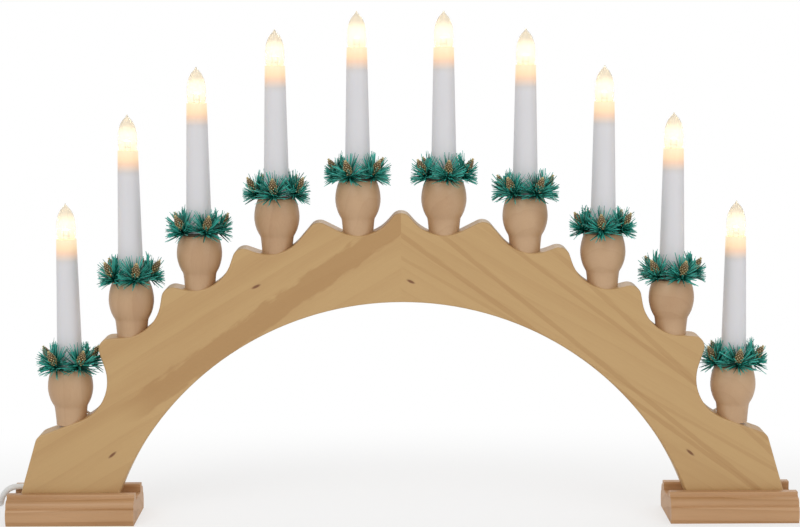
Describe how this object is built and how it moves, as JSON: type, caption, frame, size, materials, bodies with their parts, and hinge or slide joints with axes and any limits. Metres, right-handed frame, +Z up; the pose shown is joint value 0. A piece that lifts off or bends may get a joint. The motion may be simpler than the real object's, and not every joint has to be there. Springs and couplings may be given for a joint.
{
  "type": "candle arch",
  "caption": "Scalloped pine arch on two moulded feet, with a stepped row of electric candles in turned cups, each ringed by a needle wreath; mains cord at one foot.",
  "frame": {"origin": "on the table, midway between the feet and midway through the board", "axes": "+X to the right seen from the front, +Y to the back, +Z up"},
  "size_m": [0.708, 0.0821, 0.35],
  "materials": {
    "pine": "clear-lacquered pine",
    "candle_white": "semi-gloss",
    "socket_brass": "plain",
    "lamp_glass": "clear, lit",
    "needle_green": "satin",
    "wire_white": "satin",
    "cord_white": "satin",
    "steel": "zinc plated",
    "pin_nickel": "nickel plated"
  },
  "bodies": {
    "arch": {"arch_half_left": "pine", "arch_half_right": "pine", "foot_left": "pine", "foot_right": "pine", "apex_dowels": "pine", "candle_cup_01": "pine", "candle_cup_02": "pine", "candle_cup_03": "pine", "candle_cup_04": "pine", "candle_cup_05": "pine", "candle_cup_06": "pine", "candle_cup_07": "pine", "candle_cup_08": "pine", "candle_cup_09": "pine", "candle_cup_10": "pine", "candle_sleeves": "candle_white", "lamp_sockets": "socket_brass", "link_wires": "wire_white", "feed_wires": "wire_white", "wire_staples": "steel", "foot_screws": "steel", "strap_screws": "steel", "cord_strap": "cord_white", "mains_cord": "cord_white", "cord_coil": "cord_white", "cord_tie": "cord_white", "plug_body": "cord_white", "plug_pins": "pin_nickel"},
    "contact_01": {"contact_leaf_01": "socket_brass"},
    "lamp_01": {"bulb_01": "lamp_glass"},
    "ring_01": {"wreath_01": "needle_green"},
    "contact_02": {"contact_leaf_02": "socket_brass"},
    "lamp_02": {"bulb_02": "lamp_glass"},
    "ring_02": {"wreath_02": "needle_green"},
    "contact_03": {"contact_leaf_03": "socket_brass"},
    "lamp_03": {"bulb_03": "lamp_glass"},
    "ring_03": {"wreath_03": "needle_green"},
    "contact_04": {"contact_leaf_04": "socket_brass"},
    "lamp_04": {"bulb_04": "lamp_glass"},
    "ring_04": {"wreath_04": "needle_green"},
    "contact_05": {"contact_leaf_05": "socket_brass"},
    "lamp_05": {"bulb_05": "lamp_glass"},
    "ring_05": {"wreath_05": "needle_green"},
    "contact_06": {"contact_leaf_06": "socket_brass"},
    "lamp_06": {"bulb_06": "lamp_glass"},
    "ring_06": {"wreath_06": "needle_green"},
    "contact_07": {"contact_leaf_07": "socket_brass"},
    "lamp_07": {"bulb_07": "lamp_glass"},
    "ring_07": {"wreath_07": "needle_green"},
    "contact_08": {"contact_leaf_08": "socket_brass"},
    "lamp_08": {"bulb_08": "lamp_glass"},
    "ring_08": {"wreath_08": "needle_green"},
    "contact_09": {"contact_leaf_09": "socket_brass"},
    "lamp_09": {"bulb_09": "lamp_glass"},
    "ring_09": {"wreath_09": "needle_green"},
    "contact_10": {"contact_leaf_10": "socket_brass"},
    "lamp_10": {"bulb_10": "lamp_glass"},
    "ring_10": {"wreath_10": "needle_green"}
  },
  "joints": [
    {"name": "contact_rise_01", "type": "slide", "parent": "arch", "child": "contact_01", "axis": [0, 0, 1], "range_m": [0, 0.00272]},
    {"name": "bulb_screw_01", "type": "hinge", "parent": "contact_01", "child": "lamp_01", "pos_m": [-0.2295, 0, 0.2], "axis": [0, 0, 1], "range_deg": [0, 540]},
    {"name": "wreath_turn_01", "type": "hinge", "parent": "arch", "child": "ring_01", "pos_m": [-0.2295, 0, 0.1], "axis": [0, 0, 1], "continuous": true},
    {"name": "contact_rise_02", "type": "slide", "parent": "arch", "child": "contact_02", "axis": [0, 0, 1], "range_m": [0, 0.00272]},
    {"name": "bulb_screw_02", "type": "hinge", "parent": "contact_02", "child": "lamp_02", "pos_m": [-0.1859, 0, 0.2], "axis": [0, 0, 1], "range_deg": [0, 540]},
    {"name": "wreath_turn_02", "type": "hinge", "parent": "arch", "child": "ring_02", "pos_m": [-0.1859, 0, 0.1], "axis": [0, 0, 1], "continuous": true},
    {"name": "contact_rise_03", "type": "slide", "parent": "arch", "child": "contact_03", "axis": [0, 0, 1], "range_m": [0, 0.00272]},
    {"name": "bulb_screw_03", "type": "hinge", "parent": "contact_03", "child": "lamp_03", "pos_m": [-0.13839, 0, 0.2], "axis": [0, 0, 1], "range_deg": [0, 540]},
    {"name": "wreath_turn_03", "type": "hinge", "parent": "arch", "child": "ring_03", "pos_m": [-0.13839, 0, 0.1], "axis": [0, 0, 1], "continuous": true},
    {"name": "contact_rise_04", "type": "slide", "parent": "arch", "child": "contact_04", "axis": [0, 0, 1], "range_m": [0, 0.00272]},
    {"name": "bulb_screw_04", "type": "hinge", "parent": "contact_04", "child": "lamp_04", "pos_m": [-0.08492, 0, 0.2], "axis": [0, 0, 1], "range_deg": [0, 540]},
    {"name": "wreath_turn_04", "type": "hinge", "parent": "arch", "child": "ring_04", "pos_m": [-0.08492, 0, 0.1], "axis": [0, 0, 1], "continuous": true},
    {"name": "contact_rise_05", "type": "slide", "parent": "arch", "child": "contact_05", "axis": [0, 0, 1], "range_m": [0, 0.00272]},
    {"name": "bulb_screw_05", "type": "hinge", "parent": "contact_05", "child": "lamp_05", "pos_m": [-0.02938, 0, 0.2], "axis": [0, 0, 1], "range_deg": [0, 540]},
    {"name": "wreath_turn_05", "type": "hinge", "parent": "arch", "child": "ring_05", "pos_m": [-0.02938, 0, 0.1], "axis": [0, 0, 1], "continuous": true},
    {"name": "contact_rise_06", "type": "slide", "parent": "arch", "child": "contact_06", "axis": [0, 0, 1], "range_m": [0, 0.00272]},
    {"name": "bulb_screw_06", "type": "hinge", "parent": "contact_06", "child": "lamp_06", "pos_m": [0.02938, 0, 0.2], "axis": [0, 0, 1], "range_deg": [0, 540]},
    {"name": "wreath_turn_06", "type": "hinge", "parent": "arch", "child": "ring_06", "pos_m": [0.02938, 0, 0.1], "axis": [0, 0, 1], "continuous": true},
    {"name": "contact_rise_07", "type": "slide", "parent": "arch", "child": "contact_07", "axis": [0, 0, 1], "range_m": [0, 0.00272]},
    {"name": "bulb_screw_07", "type": "hinge", "parent": "contact_07", "child": "lamp_07", "pos_m": [0.08492, 0, 0.2], "axis": [0, 0, 1], "range_deg": [0, 540]},
    {"name": "wreath_turn_07", "type": "hinge", "parent": "arch", "child": "ring_07", "pos_m": [0.08492, 0, 0.1], "axis": [0, 0, 1], "continuous": true},
    {"name": "contact_rise_08", "type": "slide", "parent": "arch", "child": "contact_08", "axis": [0, 0, 1], "range_m": [0, 0.00272]},
    {"name": "bulb_screw_08", "type": "hinge", "parent": "contact_08", "child": "lamp_08", "pos_m": [0.13839, 0, 0.2], "axis": [0, 0, 1], "range_deg": [0, 540]},
    {"name": "wreath_turn_08", "type": "hinge", "parent": "arch", "child": "ring_08", "pos_m": [0.13839, 0, 0.1], "axis": [0, 0, 1], "continuous": true},
    {"name": "contact_rise_09", "type": "slide", "parent": "arch", "child": "contact_09", "axis": [0, 0, 1], "range_m": [0, 0.00272]},
    {"name": "bulb_screw_09", "type": "hinge", "parent": "contact_09", "child": "lamp_09", "pos_m": [0.1859, 0, 0.2], "axis": [0, 0, 1], "range_deg": [0, 540]},
    {"name": "wreath_turn_09", "type": "hinge", "parent": "arch", "child": "ring_09", "pos_m": [0.1859, 0, 0.1], "axis": [0, 0, 1], "continuous": true},
    {"name": "contact_rise_10", "type": "slide", "parent": "arch", "child": "contact_10", "axis": [0, 0, 1], "range_m": [0, 0.00272]},
    {"name": "bulb_screw_10", "type": "hinge", "parent": "contact_10", "child": "lamp_10", "pos_m": [0.2295, 0, 0.2], "axis": [0, 0, 1], "range_deg": [0, 540]},
    {"name": "wreath_turn_10", "type": "hinge", "parent": "arch", "child": "ring_10", "pos_m": [0.2295, 0, 0.1], "axis": [0, 0, 1], "continuous": true}
  ],
  "couplings": [
    {"joint": "bulb_screw_01", "follows": "contact_rise_01", "rad_per_m": 3463.7},
    {"joint": "bulb_screw_02", "follows": "contact_rise_02", "rad_per_m": 3463.7},
    {"joint": "bulb_screw_03", "follows": "contact_rise_03", "rad_per_m": 3463.7},
    {"joint": "bulb_screw_04", "follows": "contact_rise_04", "rad_per_m": 3463.7},
    {"joint": "bulb_screw_05", "follows": "contact_rise_05", "rad_per_m": 3463.7},
    {"joint": "bulb_screw_06", "follows": "contact_rise_06", "rad_per_m": 3463.7},
    {"joint": "bulb_screw_07", "follows": "contact_rise_07", "rad_per_m": 3463.7},
    {"joint": "bulb_screw_08", "follows": "contact_rise_08", "rad_per_m": 3463.7},
    {"joint": "bulb_screw_09", "follows": "contact_rise_09", "rad_per_m": 3463.7},
    {"joint": "bulb_screw_10", "follows": "contact_rise_10", "rad_per_m": 3463.7}
  ]
}
